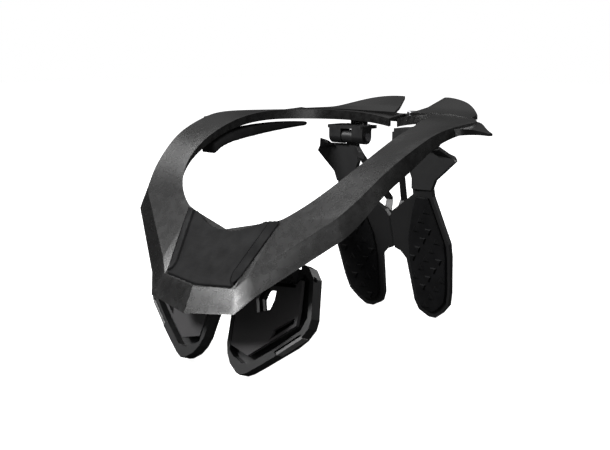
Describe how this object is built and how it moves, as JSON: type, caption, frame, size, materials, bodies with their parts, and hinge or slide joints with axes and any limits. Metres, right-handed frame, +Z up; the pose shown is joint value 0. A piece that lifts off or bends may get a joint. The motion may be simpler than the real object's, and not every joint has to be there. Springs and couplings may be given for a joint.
{
  "type": "rigid neck brace collar",
  "caption": "Two-part rigid neck brace: a faceted ring round the neck with a chest pad, tilting chest paddles and folding back wings.",
  "frame": {"origin": "centre of the footprint, on the plane that the feet stand on", "axes": "+Z up; the wearer faces -Y, so the chest pad is at -Y and the back wings at +Y; +X is the wearer's left"},
  "size_m": [0.2784, 0.269, 0.1784],
  "materials": {
    "shell_polymer": "fine satin grain",
    "wing_polymer": "matte moulded nylon",
    "plate_polymer": "semi-gloss",
    "inner_polymer": "plain moulded",
    "clip_polymer": "satin",
    "pad_rubber": "soft matte",
    "liner_foam": "knit over foam",
    "neck_foam": "closed-cell foam",
    "pin_steel": "turned"
  },
  "bodies": {
    "left_half": {"bracket_screws_left": "pin_steel", "collar_hinge_left": "inner_polymer", "collar_hinge_pin": "pin_steel", "collar_shell_left": "shell_polymer", "front_pad": "pad_rubber", "latch_tongue": "inner_polymer", "leaf_screws_left": "pin_steel", "neck_foam_left": "neck_foam", "pad_base": "inner_polymer", "paddle_bracket_left": "inner_polymer", "paddle_pin_left": "pin_steel", "rear_leaf_left": "shell_polymer", "shoulder_liner_left": "liner_foam", "tail_fin_left": "shell_polymer", "wing_bracket_left": "inner_polymer", "wing_pin_left": "pin_steel"},
    "right_half": {"bracket_screws_right": "pin_steel", "collar_hinge_right": "inner_polymer", "collar_shell_right": "shell_polymer", "latch_housing": "inner_polymer", "leaf_screws_right": "pin_steel", "neck_foam_right": "neck_foam", "paddle_bracket_right": "inner_polymer", "paddle_pin_right": "pin_steel", "rear_leaf_right": "shell_polymer", "shoulder_liner_right": "liner_foam", "tail_fin_right": "shell_polymer", "wing_bracket_right": "inner_polymer", "wing_pin_right": "pin_steel"},
    "wing_right": {"wing_pad_right": "pad_rubber", "wing_right": "wing_polymer"},
    "wing_left": {"wing_left": "wing_polymer", "wing_pad_left": "pad_rubber"},
    "paddle_right": {"paddle_cushion_right": "liner_foam", "paddle_plate_right": "plate_polymer", "paddle_tray_right": "wing_polymer", "size_clip_right": "clip_polymer"},
    "paddle_left": {"paddle_cushion_left": "liner_foam", "paddle_plate_left": "plate_polymer", "paddle_tray_left": "wing_polymer", "size_clip_left": "clip_polymer"},
    "button": {"release_button": "clip_polymer"}
  },
  "joints": [
    {"name": "collar_open", "type": "hinge", "parent": "left_half", "child": "right_half", "pos_m": [0, 0.118, 0.1613], "axis": [0, 0, 1], "range_deg": [0, 20]},
    {"name": "wing_fold_right", "type": "hinge", "parent": "right_half", "child": "wing_right", "pos_m": [0.032, 0.0765, 0.147], "axis": [1, 0, 0], "range_deg": [-70, 0]},
    {"name": "wing_fold_left", "type": "hinge", "parent": "left_half", "child": "wing_left", "pos_m": [-0.032, 0.0765, 0.147], "axis": [1, 0, 0], "range_deg": [-70, 0]},
    {"name": "paddle_tilt_right", "type": "hinge", "parent": "right_half", "child": "paddle_right", "pos_m": [0.01219, -0.08579, 0.06954], "axis": [0.9998, 0.0192, 0], "range_deg": [0, 12]},
    {"name": "paddle_tilt_left", "type": "hinge", "parent": "left_half", "child": "paddle_left", "pos_m": [-0.01219, -0.08579, 0.06954], "axis": [0.9998, -0.0192, 0], "range_deg": [0, 12]},
    {"name": "release_press", "type": "slide", "parent": "right_half", "child": "button", "axis": [0, 0, 1], "range_m": [0, 0.002], "stiffness_N_per_m": 350, "springref_m": -0.0006}
  ]
}
